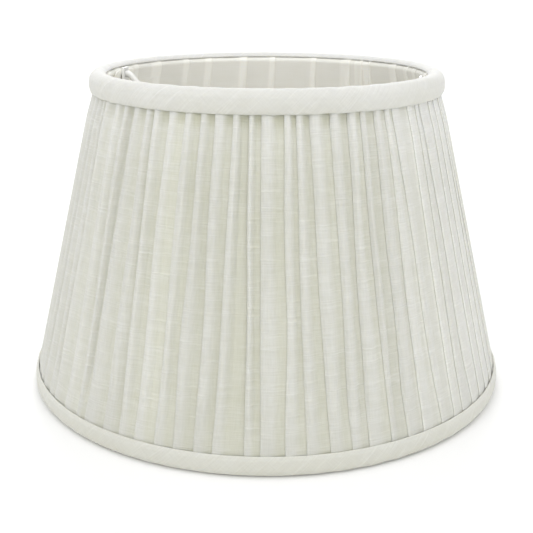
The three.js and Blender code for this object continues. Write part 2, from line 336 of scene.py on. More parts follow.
# ---- Materials ----
class Nodes:
    """A material's node tree, with short calls for the nodes used here."""

    def __init__(self, name):
        self.material = bpy.data.materials.new(name)
        self.material.use_nodes = True
        self.tree = self.material.node_tree
        self.shader = self.tree.nodes["Principled BSDF"]

    def node(self, kind, **settings):
        made = self.tree.nodes.new(kind)
        for key, value in settings.items():
            setattr(made, key, value)
        return made

    def put(self, socket, value):
        if isinstance(value, bpy.types.NodeSocket):
            self.tree.links.new(value, socket)
        else:
            socket.default_value = value

    def math(self, operation, a, b=0.0, c=0.0, clamp=False):
        made = self.node("ShaderNodeMath", operation=operation, use_clamp=clamp)
        for socket, value in zip(made.inputs, (a, b, c)):
            self.put(socket, value)
        return made.outputs[0]

    def fill(self, node, **values):
        """Give values or links to a node's inputs, whose labels have underscores for spaces."""
        for label, value in values.items():
            self.put(node.inputs[label.replace("_", " ")], value)
        return node.outputs[0]

    def mapped(self, **values):
        return self.fill(self.node("ShaderNodeMapping"), **values)

    def cloth_uv(self, scale, offset=(0, 0, 0), turn=0.0):
        """The cloth's own coordinates, turned first so that the threads are stretched along the weave."""
        source = self.node("ShaderNodeUVMap", uv_map="cloth").outputs[0]
        turned = self.mapped(Vector=source, Rotation=(0, 0, turn))
        return self.mapped(Vector=turned, Location=offset, Scale=scale)

    def object_point(self, scale):
        """The object's own coordinates, in metres, times a scale."""
        source = self.node("ShaderNodeTexCoord").outputs["Object"]
        return self.mapped(Vector=source, Scale=(scale, scale, scale))

    def noise(self, vector, detail=2.0, rough=0.5):
        made = self.node("ShaderNodeTexNoise")
        return self.fill(made, Vector=vector, Scale=1.0, Detail=detail, Roughness=rough)

    def span(self, value, low, high, to_low=0.0, to_high=1.0):
        made = self.node("ShaderNodeMapRange")
        for socket, number in zip(made.inputs, (value, low, high, to_low, to_high)):
            self.put(socket, number)
        return made.outputs[0]

    def blend(self, share, first, second):
        """Two colours, each a socket or (red, green, blue), mixed by a share."""
        made = self.node("ShaderNodeMix", data_type="RGBA")
        self.put(made.inputs["Factor"], share)
        for label, colour in (("A", first), ("B", second)):
            self.put(made.inputs[label], (*colour, 1.0) if isinstance(colour, tuple) else colour)
        return made.outputs["Result"]

    def finish(self, **values):
        self.fill(self.shader, **values)

    def attribute(self, name):
        return self.node("ShaderNodeAttribute", attribute_name=name).outputs["Fac"]

    def bump(self, height, distance):
        made = self.node("ShaderNodeBump")
        self.finish(Normal=self.fill(made, Strength=1.0, Distance=distance, Height=height))


def woven(name, light, shade_tone, slub_tone, turn=0.0, depth=0.16, thread=0.62, scatter=0.65, gain=0.05):
    """Slubby plain weave. Weft threads run along the cloth's first coordinate, warp along its second.

    turn is the weave's angle on the cloth, depth how far the threads stand up and thread how wide they are.
    gain is how much a piece's "tone" attribute lightens the cloth. "warmth" adds to its saturation.
    """
    n = Nodes(name)
    per_metre = 1 / (thread * MM)
    weft = n.noise(n.cloth_uv((90, per_metre * 1.15, 1), turn=turn), detail=3.0, rough=0.6)
    warp = n.noise(n.cloth_uv((per_metre * 1.0, 120, 1), (7, 3, 0), turn), detail=2.0)
    bands = n.noise(n.cloth_uv((26, 190, 1), (3, 9, 0), turn), detail=2.0)
    slubs = n.noise(n.cloth_uv((45, per_metre * 0.42, 1), (11, 5, 0), turn), detail=1.0)
    cloudy = n.noise(n.cloth_uv((22, 14, 1), (2, 8, 0), turn), detail=2.0)
    grain = n.noise(n.cloth_uv((per_metre * 1.6, per_metre * 1.6, 1), turn=turn), detail=1.0)
    weft_line = n.span(weft, 0.34, 0.66)
    warp_line = n.span(warp, 0.30, 0.70)
    band = n.span(bands, 0.35, 0.65)
    slub = n.span(slubs, 0.62, 0.78)
    weft_seen = n.math("MULTIPLY", weft_line, n.math("MULTIPLY_ADD", band, 0.7, 0.3))
    cloth = n.math("MULTIPLY_ADD", weft_seen, 0.62, n.math("MULTIPLY", warp_line, 0.26))
    tone = n.math("MULTIPLY_ADD", cloudy, 0.35, n.math("MULTIPLY", cloth, 0.75))
    colour = n.blend(n.span(tone, 0.12, 0.72), shade_tone, light)
    colour = n.blend(n.math("MULTIPLY", slub, 0.6), colour, slub_tone)
    lightness = n.math("MULTIPLY_ADD", n.attribute("tone"), gain, 1.0)
    saturation = n.math("ADD", n.attribute("warmth"), 1.0)
    tinted = n.fill(n.node("ShaderNodeHueSaturation"), Value=lightness, Saturation=saturation, Color=colour)
    n.finish(Base_Color=tinted, Roughness=n.span(cloth, 0, 1, 0.95, 0.82))
    n.finish(Specular_IOR_Level=0.18, Sheen_Weight=0.08, Sheen_Roughness=0.45)
    n.finish(Subsurface_Weight=scatter, Subsurface_Radius=(1.0, 0.95, 0.8), Subsurface_Scale=0.6 * MM)
    height = n.math("MULTIPLY_ADD", slub, 0.8, cloth)
    height = n.math("MULTIPLY_ADD", grain, 0.25, height)
    n.bump(height, depth * MM)
    return n.material


def powder_coat(name, colour, roughness):
    """White powder coat: fine orange peel, and slightly greyer where it is thin."""
    n = Nodes(name)
    peel = n.noise(n.object_point(900), detail=2.0)
    patches = n.noise(n.object_point(60), detail=3.0)
    thin = n.span(patches, 0.35, 0.75)
    n.finish(Base_Color=n.blend(thin, colour, (0.74, 0.74, 0.72)))
    n.finish(Roughness=n.span(peel, 0.3, 0.7, roughness - 0.06, roughness + 0.1))
    n.bump(peel, 0.03 * MM)
    return n.material


TAPE_TURNS = 24  # turns of binding tape round a ring, for each radian
TAPE_SLANT = 260  # the tape edges' lean, in turns for each metre of height


def wound_tape(name, light, shade_tone):
    """Plain cotton tape wound round a ring in the XY plane, its edges as slanting lines round the wire."""
    n = Nodes(name)
    apart = n.node("ShaderNodeSeparateXYZ")
    n.put(apart.inputs[0], n.object_point(1))
    x, y, z = apart.outputs
    around = n.math("ARCTAN2", y, x)
    slant = n.math("MULTIPLY_ADD", z, TAPE_SLANT, n.math("MULTIPLY", around, TAPE_TURNS))
    turn_share = n.math("FRACT", slant)
    edge = n.span(turn_share, 0.0, 0.12)
    weave = n.noise(n.object_point(1500), detail=2.0)
    lit = n.math("MULTIPLY", edge, weave)
    n.finish(Base_Color=n.blend(lit, shade_tone, light))
    n.finish(Roughness=n.span(weave, 0.3, 0.7, 0.95, 0.82))
    n.bump(n.math("MULTIPLY_ADD", weave, 0.3, edge), 0.2 * MM)
    return n.material


cover_linen = woven("cover_linen", (0.645, 0.645, 0.6), (0.55, 0.55, 0.495), (0.695, 0.695, 0.648))
trim_linen = woven(
    "trim_linen", (0.69, 0.69, 0.658), (0.615, 0.613, 0.578), (0.735, 0.735, 0.708),
    turn=math.radians(45), depth=0.12,
)
lining_cloth = woven(
    "lining_cloth", (0.94, 0.925, 0.86), (0.90, 0.885, 0.80), (0.95, 0.94, 0.89),
    depth=0.04, thread=0.35, scatter=0.3, gain=0.1,
)
binding_tape = wound_tape("binding_tape", (0.80, 0.79, 0.74), (0.70, 0.69, 0.64))
frame_wire = powder_coat("frame_wire", (0.84, 0.84, 0.82), 0.4)
fitter_steel = powder_coat("fitter_steel", (0.86, 0.86, 0.845), 0.32)


# ---- Pleated cover ----
STITCHED_FLAT = 2  # the pleats are sewn flat over this height at the top and the bottom
OPENS_BELOW_TOP = 12  # and open to their full depth over these heights
OPENS_ABOVE_BOTTOM = 28
PULL_BAND = (20, 15)  # how far under the top the trim's pull is felt, and the height over which it grows
UNEVEN_TOP = 0.15  # how far the folds stray, as shares of a pleat's pitch
UNEVEN_BOTTOM = 0.13
SWAY = 0.10
FULLNESS = (2.6, 0.45, 0.4)  # a pleat's depth: middle, spread from pleat to pleat, change along a pleat
CREST = (0.31, 0.08, 0.06)  # where a pleat's face is highest, in the same way, as a share of its width
CREST_LIMITS = (0.18, 0.46)
GROOVE_RUN = (0.37, 0.1, 0.08)  # from the crest to the groove
GROOVE_RUN_LIMITS = (0.22, 0.54)
SEWN_DEPTH = 0.7  # a pleat's depth where it is sewn flat
SHALLOWEST_PLEAT = 0.65
SEWN_LOOP = 0.17  # radius of the turn at a fold
OPEN_LOOP = 0.21
FULLY_PRESSED = 0.72  # the share at which pressing has its whole effect on the tone
FOLD_EDGE = (0.08, 0.55)  # the share of a pleat that its lit fold edge takes, and its share of the tone
GROOVE_START = 0.84  # where the lit edge of the groove starts


def cover_path():
    """Outer surface of the pleats from the bottom ring to the top ring, closely spaced near the rings."""
    low, high = COVER_PROFILE[0, 1], COVER_PROFILE[-1, 1]
    near_bottom = np.linspace(low, low + 30 * MM, 11)
    middle = np.linspace(low + 30 * MM, high - 34 * MM, 15)[1:-1]
    near_top = np.linspace(high - 34 * MM, high, 19)
    z = np.concatenate([near_bottom, middle, near_top])
    return np.stack([np.interp(z, COVER_PROFILE[:, 1], COVER_PROFILE[:, 0]), z], axis=1)


def ridge(share, depth, seat, crest, groove, openness):
    """The depth of a pleat's face: up from its seat to a rounded crest, then down into a groove."""
    rise = np.clip(1 - share / crest, 0, 1)
    pressed = np.clip((share - crest) / (1 - crest), 0, 1)
    rounded = smooth((share - crest) / (groove - crest))
    return seat * (1 - np.sqrt(1 - rise ** 2)) + depth * mix(pressed, rounded, openness)


def strut_clearance(folds, pitch):
    """0 for a pleat whose layers pass over a strut, 1 for one that is clear of it."""
    middle = folds[:-1] + pitch - FIRST_STRUT
    away = np.abs((middle + STRUT_SPACING / 2) % STRUT_SPACING - STRUT_SPACING / 2)
    return smooth((away / pitch - 1.35) / 0.45)


def uneven(measure, t):
    """A measure that differs from pleat to pleat and changes slowly along each, as (pleat, height)."""
    middle, between_pleats, along_pleat = measure
    return middle + between_pleats * rng.normal(size=(PLEATS, 1)) + along_pleat * slow_waves(PLEATS, t)


def cover_folds(t):
    """The angle of every fold at each place t up the cover, and the even angles that they stray from."""
    pitch = TAU / PLEATS
    uneven_top = rng.normal(0, UNEVEN_TOP, PLEATS) * pitch
    uneven_bottom = rng.normal(0, UNEVEN_BOTTOM, PLEATS) * pitch
    sway = slow_waves(PLEATS, t) * SWAY * pitch * np.sin(math.pi * t)
    start = COVER_SPLIT + pitch * np.arange(PLEATS)[:, None]
    folds = start + mix(uneven_bottom[:, None], uneven_top[:, None], t) + sway
    return np.concatenate([folds, folds[:1] + TAU]), start


def pressed_share(angles):
    """How flat the pleats are pressed at some angles round the shade, from 0 up."""
    pressed = np.zeros_like(angles)
    for angle, spread, flatter in PRESSED_SIDES:
        away = (angles - math.radians(angle) + math.pi) % TAU - math.pi
        pressed += flatter * np.exp(-(away / math.radians(spread)) ** 2)
    return pressed


def cover_shades(share, crest, groove, pressed, below_top, above_bottom):
    """Tone and warmth at every station of the pleats: painted light and shade, and a random tone for each
    pleat.
    """
    edge_width, edge_tone = FOLD_EDGE
    # painted light along the fold edges and in the grooves, used where the pleats are pressed flat
    at_fold = edge_tone * np.clip(1 - share / edge_width, 0, 1)
    at_fold = at_fold + np.clip((share - GROOVE_START) / (1 - GROOVE_START), 0, 1)
    # painted shade, from the crest down into the groove of each full pleat
    valley = smooth((share - crest[:, :, None]) / (groove - crest)[:, :, None])
    flat = np.minimum(pressed / FULLY_PRESSED, 1)[:, :, None]
    # painted light along the top and painted shade along the bottom
    lighter = TOP_PAINTED_LIGHT * near_edge(below_top, *TOP_BAND)
    darker = BOTTOM_PAINTED_SHADE * near_edge(above_bottom, *BOTTOM_BAND)
    gap = (1 - flat) * valley * near_edge(below_top, *GAP_BAND)[None, :, None]
    tone = rng.normal(0, PLEAT_TONE_SPREAD, (PLEATS, 1, 1))
    tone = tone + mix(-VALLEY_PAINTED_SHADE * valley, FOLD_PAINTED_LIGHT * at_fold, flat)
    tone = tone + (lighter - darker)[None, :, None] - GAP_SHADE * gap
    warmth = mix(VALLEY_SHADE_WARMTH * valley, PRESSED_LIGHT_WARMTH, flat)
    warmth = warmth - TOP_LIGHTER_COOLS * lighter[None, :, None] + GAP_WARMTH * gap
    return tone, warmth


def make_cover():
    """The two fabric widths of the cover, each one sheet of linen laid in knife pleats."""
    path = cover_path()
    normals = -path_normals(path)
    z = path[:, 1]
    t = (z - z[0]) / (z[-1] - z[0])
    below_top = (z[-1] - z) / MM
    above_bottom = (z - z[0]) / MM
    still_closed = 1 - np.clip((below_top - STITCHED_FLAT) / OPENS_BELOW_TOP, 0, 1)
    openness = (1 - still_closed ** 2) * smooth((above_bottom - STITCHED_FLAT) / OPENS_ABOVE_BOTTOM)
    openness = openness[None, :]
    drawn_in = TRIM_PULL * near_edge(below_top, *PULL_BAND)

    folds, even_angles = cover_folds(t)
    pressed = pressed_share(even_angles)
    fullness = uneven(FULLNESS, t) * (1 - pressed)
    room = mix(PLEAT_OVER_STRUT - drawn_in[None, :], DEEPEST_PLEAT, strut_clearance(folds, TAU / PLEATS))
    depth = mix(SEWN_DEPTH, np.clip(fullness, SHALLOWEST_PLEAT, room), openness)
    loop = mix(SEWN_LOOP, OPEN_LOOP, openness) * (1 - 0.5 * pressed)
    crest = np.clip(uneven(CREST, t), *CREST_LIMITS)
    groove = crest + np.clip(uneven(GROOVE_RUN, t), *GROOVE_RUN_LIMITS)
    fabric = np.full((PLEATS, len(z)), PLEAT_FABRIC)
    radius = path[:, 0] / MM

    def fall(share, deep, seat):
        return ridge(share, deep, seat, crest[:, :, None], groove[:, :, None], openness[:, :, None])

    angle, depths, place, share = pleat_section(folds, radius, fabric, depth, loop, fall, LINEN_THICKNESS)
    depths = depths - COVER_PROUD + drawn_in[None, :, None]
    tone, warmth = cover_shades(share, crest, groove, pressed, below_top, above_bottom)
    length = path_lengths(path)
    half = PLEATS // 2
    for side, first in (("back", 0), ("front", half)):
        laid = (angle, depths, place, tone, warmth)
        columns = [pleat_columns(values, first, first + half) for values in laid]
        wrap = TAU if first == 0 else 0.0
        columns[0][:, :RETURN_STEPS] -= wrap
        points = pleated_grid(columns[0], columns[1], path, normals)
        cloth_uv = np.stack([columns[2] * MM, np.broadcast_to(length[:, None], columns[2].shape)], axis=2)
        shades = {"tone": columns[3], "warmth": columns[4]}
        name = f"linen_cover_{side}"
        cover = cloth_piece(name, points, LINEN_THICKNESS * MM, cloth_uv, cover_linen, attributes=shades)
        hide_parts(f"pleated_cover_{side}")


# ---- Bias trims ----
ROLL_WIDTH = 9.35  # across a finished roll
TOP_WRAP = 141  # degrees that the top trim turns over its ring
TOP_BULGE = ((0.1, 5.6), (0.28, 4.4), (0.3, 3.4), (0.2, 2.3), (0.0, 1.2), (-0.35, 0.4), (-0.7, 0.0))
BOTTOM_OUTER_CORNER = 4.2  # the bottom roll's corners, pressed flat between them
BOTTOM_INNER_CORNER = 2.6
BOTTOM_WRAP = 210
TRIM_ROW = 0.5  # spacing of the points across a trim
TRIM_COLUMNS = 600
SEAM_DIP = 0.15  # how far a trim's slanting seam is drawn in
WRINKLE_COUNT = 30
TOP_TRIM_INSET = 0.2  # the roll's side stands this far inside the CAD trim's corner
TOP_TRIM_RISE = 0.4  # and its crest this far over the CAD trim's flat
BOTTOM_TRIM_OVER_COVER = 1.15
BOTTOM_TRIM_SWELL = (0.75, 1.6)  # out from there, and down
TOP_TRIM_CUT = (0.57, 0.06, math.radians(63), (-1.1, 1.3))  # cut length in metres, puckers, seam, and painted light and shade at the ends of the face
BOTTOM_TRIM_CUT = (0.80, 0.05, math.radians(57), (1.2, 3.8))


def arc(centre, radius, start, end, count):
    turn = np.radians(np.linspace(start, end, count))
    return np.stack([centre[0] + radius * np.cos(turn), centre[1] + radius * np.sin(turn)], axis=1)


def resample(path, spacing):
    lengths = path_lengths(path)
    count = max(2, int(round(lengths[-1] / spacing)) + 1)
    places = np.linspace(0, lengths[-1], count)
    return np.stack([np.interp(places, lengths, path[:, 0]), np.interp(places, lengths, path[:, 1])], axis=1)


def hemmed(face):
    """The middle of a tape whose face has its outside on the left, with a hem turned in behind each edge.

    The second result is the outward direction of the face in front of each point, and the third is that
    place's distance along the face, so that the hems follow the face's wrinkles.
    """
    normals = path_normals(face)
    layer = (TAPE_THICKNESS + LAYER_GAP) * MM
    middle = face - normals * TAPE_THICKNESS * MM / 2
    behind = middle - normals * layer
    lengths = path_lengths(face)
    near = lengths <= TAPE_HEM * MM
    far = lengths >= lengths[-1] - TAPE_HEM * MM

    def turned(edge, inner):
        direction = middle[edge] - middle[inner]
        direction = direction / np.linalg.norm(direction)
        around = np.linspace(0, math.pi, 5)[1:-1, None]
        return middle[edge] + layer / 2 * (normals[edge] * (np.cos(around) - 1) + direction * np.sin(around))

    parts = [behind[near][::-1], turned(0, 1)[::-1], middle, turned(-1, -2), behind[far][::-1]]
    out = [normals[near][::-1], np.tile(normals[0], (3, 1)), normals]
    out += [np.tile(normals[-1], (3, 1)), normals[far][::-1]]
    in_front = [lengths[near][::-1], np.zeros(3), lengths, np.full(3, lengths[-1]), lengths[far][::-1]]
    return np.concatenate(parts), np.concatenate(out), np.concatenate(in_front)


def make_trim(name, node, face, cut_length, wrinkle, seam_angle, painted_shade_ends):
    """A folded bias tape rolled over a ring, its ends joined in a slanting seam.

    wrinkle is the size of its puckers in millimetres. The last argument is painted light and shade: how much
    darker it is at the start and at the end of its face, lighter where that is below zero.
    """
    section, outwards, in_front = hemmed(resample(face, TRIM_ROW * MM))
    lengths = path_lengths(section)
    radius = face[:, 0].mean()
    angles = np.linspace(0, TAU, TRIM_COLUMNS, endpoint=False)
    s, a = np.meshgrid(lengths, angles, indexing="ij")
    on_face = in_front[:, None]
    puckers = np.zeros_like(s)
    for _ in range(WRINKLE_COUNT):
        waves = int(TAU * radius / (rng.uniform(5, 17) * MM))
        lean = rng.uniform(-1.4, 1.4) / radius
        phase = rng.uniform(0, TAU)
        centre = rng.uniform(0, TAU)
        reach = rng.uniform(0.1, 0.6)
        away = (a - centre + math.pi) % TAU - math.pi
        puckers += np.exp(-(away / reach) ** 2) * np.sin(waves * (a + lean * on_face) + phase)
    from_seam = ((a - seam_angle + math.pi) % TAU - math.pi) * radius - (on_face - in_front.max() / 2)
    offset = puckers * wrinkle * MM - SEAM_DIP * MM * np.exp(-(from_seam / (0.5 * MM)) ** 2)
    r = section[:, 0:1] + outwards[:, 0:1] * offset
    z = section[:, 1:2] + outwards[:, 1:2] * offset
    z = np.maximum(z, TAPE_THICKNESS * MM / 2)
    points = np.stack([r * np.cos(a), r * np.sin(a), z], axis=2)
    cloth_uv = np.stack([a * radius, s], axis=2)
    # painted light and shade from the start to the end of the face, with slow random waves round the trim
    tone = slow_waves(1, angles)[0][None, :] * 0.2 - mix(*painted_shade_ends, on_face / in_front.max())
    shades = {"tone": tone, "warmth": np.clip(-0.5 * tone, -0.4, 2)}
    trim = cloth_piece(
        name, points, TAPE_THICKNESS * MM, cloth_uv, trim_linen, round_length=TAU * radius, attributes=shades
    )
    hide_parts(node)


def make_trims():
    roll = ROLL_WIDTH * MM / 2
    side = TOP_TRIM_HIGH.x - TOP_TRIM_INSET * MM
    crest = (side - roll, TOP_TRIM_HIGH.z + TOP_TRIM_RISE * MM - roll)
    over = arc(crest, roll, TOP_WRAP, 0, 24)
    bulge = [(side + out * MM, TOP_TRIM_LOW.z + up * MM) for out, up in TOP_BULGE]
    top_face = np.concatenate([over, bulge])
    make_trim("bias_trim_top", "top_trim", top_face, *TOP_TRIM_CUT)
    outer, inner = BOTTOM_OUTER_CORNER * MM, BOTTOM_INNER_CORNER * MM
    outside = (BOTTOM_TRIM_HIGH.x - outer, outer)
    inside = (BOTTOM_TRIM_HIGH.x - ROLL_WIDTH * MM + inner, inner)
    upper_edge = np.interp(BOTTOM_TRIM_HIGH.z, COVER_PROFILE[:, 1], COVER_PROFILE[:, 0])
    upper_edge = upper_edge + BOTTOM_TRIM_OVER_COVER * MM
    out, down = BOTTOM_TRIM_SWELL
    upper = [[upper_edge, BOTTOM_TRIM_HIGH.z], [upper_edge + out * MM, BOTTOM_TRIM_HIGH.z - down * MM]]
    turned_in = [arc(outside, outer, 5, -90, 12), arc(inside, inner, -90, BOTTOM_WRAP - 360, 6)]
    bottom_face = np.concatenate([upper, *turned_in])
    make_trim("bias_trim_bottom", "bottom_trim", bottom_face, *BOTTOM_TRIM_CUT)


# ---- Lining: tucked towards the top ring, where it is drawn over the ring and sewn ----
LINING_WRAP = 2.8  # from a ring's middle to the face of the lining that is drawn over it
TAB_HALF_OPENING = 4.6  # the lining is parted this far on each side of a tab's leg
TAB_LEG_Z = 151.5
TAB_OPENING_REACH = 1.9
PARTING_REACH = 0.12  # the angle over which the parted cloth is pushed together
TUCK_TAKES_UP = (1.2, 5.8)  # the least and most cloth that a tuck takes up at the top
TUCK_SPACING = (0.6, 1.4)
TUCK_RELEASE = (0.8, 1.6)  # how early or late a tuck opens on its way down
TUCK_DEPTH = (1.3, 0.3)  # middle and spread
TUCK_DEPTH_LIMITS = (0.8, 1.9)
SEWN_TUCK_DEPTH = 0.36
TUCK_OVERLAP = 1.6
NARROWEST_TUCK = 5
LINING_SAG = 0.9  # how far the cloth hangs in from the straight line between the rings


def lining_path():
    """The lining's inner face, from under the bottom ring to over the top ring."""
    under = arc(BOTTOM_RING[:2], LINING_WRAP * MM, 250, 180, 7)
    over = arc(TOP_RING[:2], LINING_WRAP * MM, 180, 100, 9)
    near_tabs = np.concatenate([np.linspace(0.8, 0.93, 6), np.linspace(0.93, 1, 13)[1:-1]])
    steps = np.concatenate([np.linspace(0, 0.8, 14)[1:-1], near_tabs])[:, None]
    return np.concatenate([under, under[-1] + (over[0] - under[-1]) * steps, over])


def tuck(share, depth, seat):
    """The depth of a tuck's face: rounded up from its edge, then down to the flat cloth beyond it."""
    rise = np.clip(1 - share / 0.07, 0, 1)
    return seat * (1 - np.sqrt(1 - rise ** 2)) + depth * smooth((share - 0.07) / 0.25)


def tuck_folds():
    """The angle of each tuck's fold at the bottom and at the top of a lining half."""
    bottom_radius, top_radius = lining_path()[[0, -1], 0] / MM
    taken_up = rng.uniform(*TUCK_TAKES_UP, LINING_TUCKS)
    spacing = rng.uniform(*TUCK_SPACING, LINING_TUCKS)
    bottom_width = math.pi * bottom_radius * spacing / spacing.sum()
    top_width = np.maximum(bottom_width + TUCK_OVERLAP - 2 * taken_up, NARROWEST_TUCK)
    top_width *= math.pi * top_radius / top_width.sum()
    widths = (bottom_width, top_width)
    return [np.concatenate([[0], np.cumsum(width / width.sum())]) * math.pi for width in widths]


def lining_columns(path, ends, t, open_middle):
    """Angle, depth, place and tone of one half of the lining, each as (height, station)."""
    radius = path[:, 0] / MM
    release = rng.uniform(*TUCK_RELEASE, LINING_TUCKS + 1)[:, None]
    folds = mix(ends[0][:, None], ends[1][:, None], t ** release)
    width = np.diff(folds, axis=0) * radius
    fabric = np.maximum((width[:, 0] + TUCK_OVERLAP), (width + 1.2).max(axis=1))[:, None] + 0 * width
    open_depth = np.clip(rng.normal(*TUCK_DEPTH, (LINING_TUCKS, 1)), *TUCK_DEPTH_LIMITS)
    depth = mix(SEWN_TUCK_DEPTH, open_depth, open_middle)
    loop = mix(0.08, 0.16, open_middle) + 0 * width
    angle, depths, place, share = pleat_section(folds, radius, fabric, depth, loop, tuck, LINING_THICKNESS)
    under = (fabric - width)[:, :, None] / 2 / width[:, :, None]
    # lighter where a tuck lies over the cloth under it: partly the doubled thin cloth, partly painted light
    # on the tucks
    tone = np.where(share < under, 1.0, 0.0) + rng.normal(0, 0.1, (LINING_TUCKS, 1, 1))
    columns = []
    for values in (angle, depths, place, tone):
        joined = [values[index] for index in range(LINING_TUCKS - 1)] + [values[-1][:, :-STEPS_BEHIND]]
        columns.append(np.concatenate(joined, axis=1))
    return columns


def parted_round_tabs(angles, path):
    """How far a lining half is turned aside near its ends, so that a tab's leg passes between the halves."""
    leg_height = np.exp(-((path[:, 1] / MM - TAB_LEG_Z) / TAB_OPENING_REACH) ** 2)
    margin = mix(0.2, TAB_HALF_OPENING, leg_height) / (path[:, 0] / MM)
    from_start, from_end = angles, math.pi - angles
    parted = np.exp(-(from_start / PARTING_REACH) ** 2) - np.exp(-(from_end / PARTING_REACH) ** 2)
    return margin[:, None] * parted


def make_lining():
    """The two halves of the lining, tucked to fit the top ring."""
    path = lining_path()
    lengths = path_lengths(path)
    t = lengths / lengths[-1]
    open_middle = smooth((t - 0.02) / 0.1) * smooth((0.965 - t) / 0.06)
    ends = tuck_folds()
    for side, turn in (("back", 0.0), ("front", math.pi)):
        angle, depths, place, tone = lining_columns(path, ends, t, open_middle)
        angles = turn + angle + parted_round_tabs(angle, path)
        points = pleated_grid(angles, depths - LINING_SAG * open_middle[:, None], path, path_normals(path))
        cloth_uv = np.stack([place * MM, lengths[:, None] + 0 * place], axis=2)
        name = f"tucked_lining_{side}"
        lining = cloth_piece(
            name, points, LINING_THICKNESS * MM, cloth_uv, lining_cloth, attributes={"tone": tone}
        )
        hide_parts(f"lining_{side}")


# ---- Neateners: strips slung under the tabs, over the parted lining ----
NEATENER_REACH = 7.7  # from the strip's middle to the pivot's plane, where it turns under the tab
NEATENER_WIDTH = 8.0
NEATENER_CENTRE_BELOW = 2.0  # under the pivot axis
NEATENER_TOP = 158.0
NEATENER_THICKNESS = 0.3
NEATENER_LEAN = 1.5  # how much further out the strip's ends stand than the sling
NEATENER_SEAT = 0.75  # from the lining's face to the strip's middle


def make_neatener(side, turn):
    """A strip of lining cloth that goes over the ring, under the tab and back over the ring."""
    centre_z = PIVOT_Z / MM - NEATENER_CENTRE_BELOW
    turning = np.radians(np.linspace(-180, 0, 25))
    sling = np.stack([NEATENER_REACH * np.cos(turning), centre_z + NEATENER_REACH * np.sin(turning)], axis=1)
    end_y = NEATENER_REACH + NEATENER_LEAN
    middle = resample(np.concatenate([[[-end_y, NEATENER_TOP]], sling, [[end_y, NEATENER_TOP]]]), 0.6)
    across = np.linspace(-1, 1, 15)
    left = path_normals(middle)
    strip = middle[:, None, :] + left[:, None, :] * across[None, :, None] * NEATENER_WIDTH / 2
    y, z = strip[:, :, 0], np.minimum(strip[:, :, 1], NEATENER_TOP)
    ring_r, ring_z = TOP_RING[0] / MM, TOP_RING[1] / MM
    reach = LINING_WRAP + NEATENER_SEAT
    on_ring = ring_r - np.sqrt(np.maximum(reach ** 2 - np.maximum(z - ring_z, 0) ** 2, 1))
    below = np.interp(z, lining_path()[:-8, 1] / MM, lining_path()[:-8, 0] / MM) - NEATENER_SEAT
    r = np.where(z > ring_z, on_ring, below)
    along = np.linspace(0, 1, len(middle))[:, None]
    lengthwise = 0.22 * np.sin(across * 7 + 2 * np.sin(along * 9))
    crosswise = 0.15 * np.sin(along * 60 + across * 2)
    r = r - np.abs(lengthwise + crosswise) - 0.55 * (1 - (across / 2 - 0.5) ** 2)
    angle = turn + y / r
    points = np.stack([r * np.cos(angle), r * np.sin(angle), z], axis=2) * MM
    cloth_uv = np.stack([y * MM, z * MM], axis=2)
    name = f"neatener_strip_{side}"
    tone = {"tone": 0.8 + 0 * y}
    strip_piece = cloth_piece(name, points, NEATENER_THICKNESS * MM, cloth_uv, lining_cloth, attributes=tone)
    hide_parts(f"neatener_{side}")


# ---- Fitter: arms, carrier ring and tabs ----
ARM_RADIUS = 1.5
PIN_HEAD_RADIUS = 2.4
PIN_HEAD_THICKNESS = 1.0
ARM_UPPER_CORNER = 2.0  # from the tab's inner face
ARM_LOWER_CORNER = 4.5  # from the carrier ring's edge
ARM_BENDS = (1.9, 3.0)  # how far from each corner its curve starts
ARM_ON_RING = 2.2  # how far the arm's foot lies over the carrier ring
FOOT = 5  # length of the flattened foot, with its run-in
FOOT_HALF_THICK = 0.95
FOOT_HALF_WIDE = 2.1
FOOT_ROUNDING = 1.2
TUBE_SIDES = 24
CARRIER_SIDES = 160
CARRIER_EDGE = 0.3
TAB_EDGE = 0.22


def rounded_corners(points, cut, steps=10):
    """A path of straight runs whose corners are turned by curves that start at the given distances."""
    path = [points[0]]
    for before, corner, after, distance in zip(points, points[1:], points[2:], cut):
        start = corner + (before - corner).normalized() * distance
        end = corner + (after - corner).normalized() * distance
        for step in range(steps + 1):
            share = step / steps
            path.append(start * (1 - share) ** 2 + corner * 2 * share * (1 - share) + end * share ** 2)
    path.append(points[-1])
    return path


def arm_path(side):
    """The middle line of an arm on the right-hand side, from its pin's outer end to its foot on the ring."""
    low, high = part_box(f"gimbal_arm_{side}")
    tab_low, tab_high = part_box(f"pivot_tab_{side}")
    tab_inner = min(abs(tab_low.x), abs(tab_high.x))
    ring_low, ring_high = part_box("carrier_ring")
    ring_z = (ring_low.z + ring_high.z) / 2
    pin_end = max(abs(low.x), abs(high.x))
    corners = [
        Vector((pin_end, 0, PIVOT_Z)),
        Vector((tab_inner - ARM_UPPER_CORNER * MM, 0, PIVOT_Z)),
        Vector((ring_high.x + ARM_LOWER_CORNER * MM, 0, ring_z)),
        Vector((ring_high.x - ARM_ON_RING * MM, 0, ring_z)),
    ]
    path = rounded_corners(corners, [distance * MM for distance in ARM_BENDS])
    return np.array([tuple(point) for point in path])


